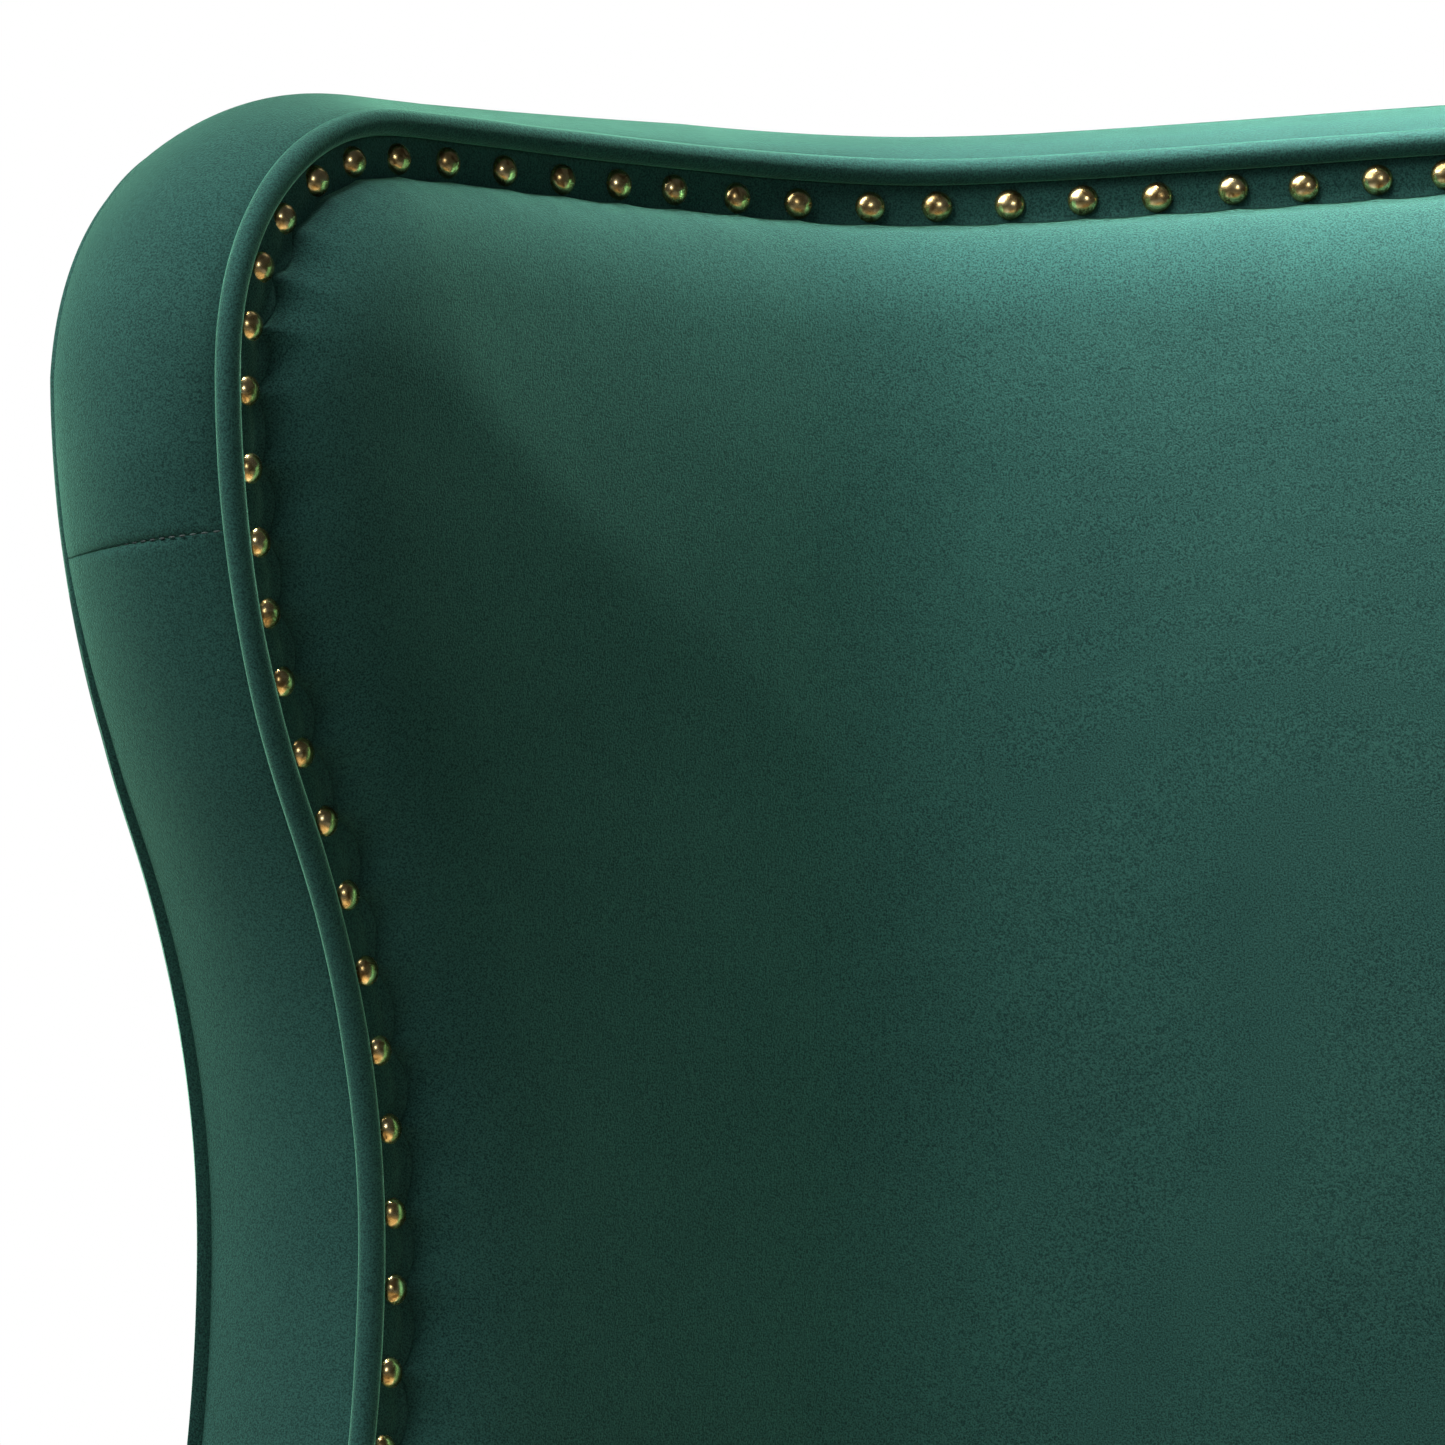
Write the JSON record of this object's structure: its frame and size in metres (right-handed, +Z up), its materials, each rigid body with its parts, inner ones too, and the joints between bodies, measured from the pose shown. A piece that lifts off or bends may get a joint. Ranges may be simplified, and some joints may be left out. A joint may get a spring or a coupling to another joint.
{
  "type": "upholstered wingback headboard bed",
  "caption": "Queen bed with a curved wingback headboard, welted and nail-trimmed velvet upholstery, padded side rails, low footboard, slats and a centre beam.",
  "frame": {"origin": "on the floor under the middle of the bed's bounding box", "axes": "+X across the bed, +Y towards the head end, +Z up; the headboard faces -Y"},
  "size_m": [1.9062, 2.296, 1.433],
  "materials": {
    "velvet": "short pile velvet",
    "foam": "open-cell foam",
    "webbing": "woven",
    "plywood": "raw",
    "pine": "raw",
    "dark_wood": "satin stain",
    "aged_brass": "antique",
    "black_steel": "satin black",
    "zinc": "zinc plated",
    "leveller": "matt"
  },
  "bodies": {
    "bed": {"headboard_middle_board": "plywood", "headboard_wing_board_left": "plywood", "headboard_wing_board_right": "plywood", "headboard_post_left": "pine", "headboard_post_right": "pine", "headboard_top_rail": "pine", "headboard_middle_rail": "pine", "headboard_bottom_rail": "pine", "wing_former_top_left": "plywood", "wing_former_top_right": "plywood", "wing_former_waist_left": "plywood", "wing_former_waist_right": "plywood", "wing_former_bottom_left": "plywood", "wing_former_bottom_right": "plywood", "corner_block_left": "pine", "corner_block_right": "pine", "inside_back_pad": "foam", "wing_pad_left": "foam", "wing_pad_right": "foam", "inside_back_cover": "velvet", "nail_border": "velvet", "front_welt": "velvet", "boxing_band_top": "velvet", "boxing_band_side_left": "velvet", "boxing_band_side_right": "velvet", "outside_back_cover": "velvet", "decorative_nails": "aged_brass", "side_rail_board_left": "plywood", "side_rail_board_right": "plywood", "side_rail_pad_left": "foam", "side_rail_pad_right": "foam", "side_rail_cover_left": "velvet", "side_rail_cover_right": "velvet", "slat_ledger_left": "pine", "slat_ledger_right": "pine", "footboard_board": "pine", "footboard_pad": "foam", "footboard_cover": "velvet", "head_foot_left": "dark_wood", "head_foot_right": "dark_wood", "toe_foot_left": "dark_wood", "toe_foot_right": "dark_wood", "head_bracket_left": "black_steel", "head_bracket_right": "black_steel", "toe_bracket_left": "black_steel", "toe_bracket_right": "black_steel", "bracket_bolts": "zinc", "wood_screws": "zinc", "slats": "pine", "slat_strap_left": "webbing", "slat_strap_right": "webbing", "centre_beam": "pine", "beam_hanger_head": "black_steel", "beam_hanger_toe": "black_steel", "centre_leg_head": "pine", "centre_leg_toe": "pine"},
    "levelling_foot_head": {"leveller_head": "leveller"},
    "levelling_foot_toe": {"leveller_toe": "leveller"}
  },
  "joints": [
    {"name": "leveller_head_screw", "type": "slide", "parent": "bed", "child": "levelling_foot_head", "axis": [0, 0, 1], "range_m": [0, 0.02]},
    {"name": "leveller_toe_screw", "type": "slide", "parent": "bed", "child": "levelling_foot_toe", "axis": [0, 0, 1], "range_m": [0, 0.02]}
  ]
}
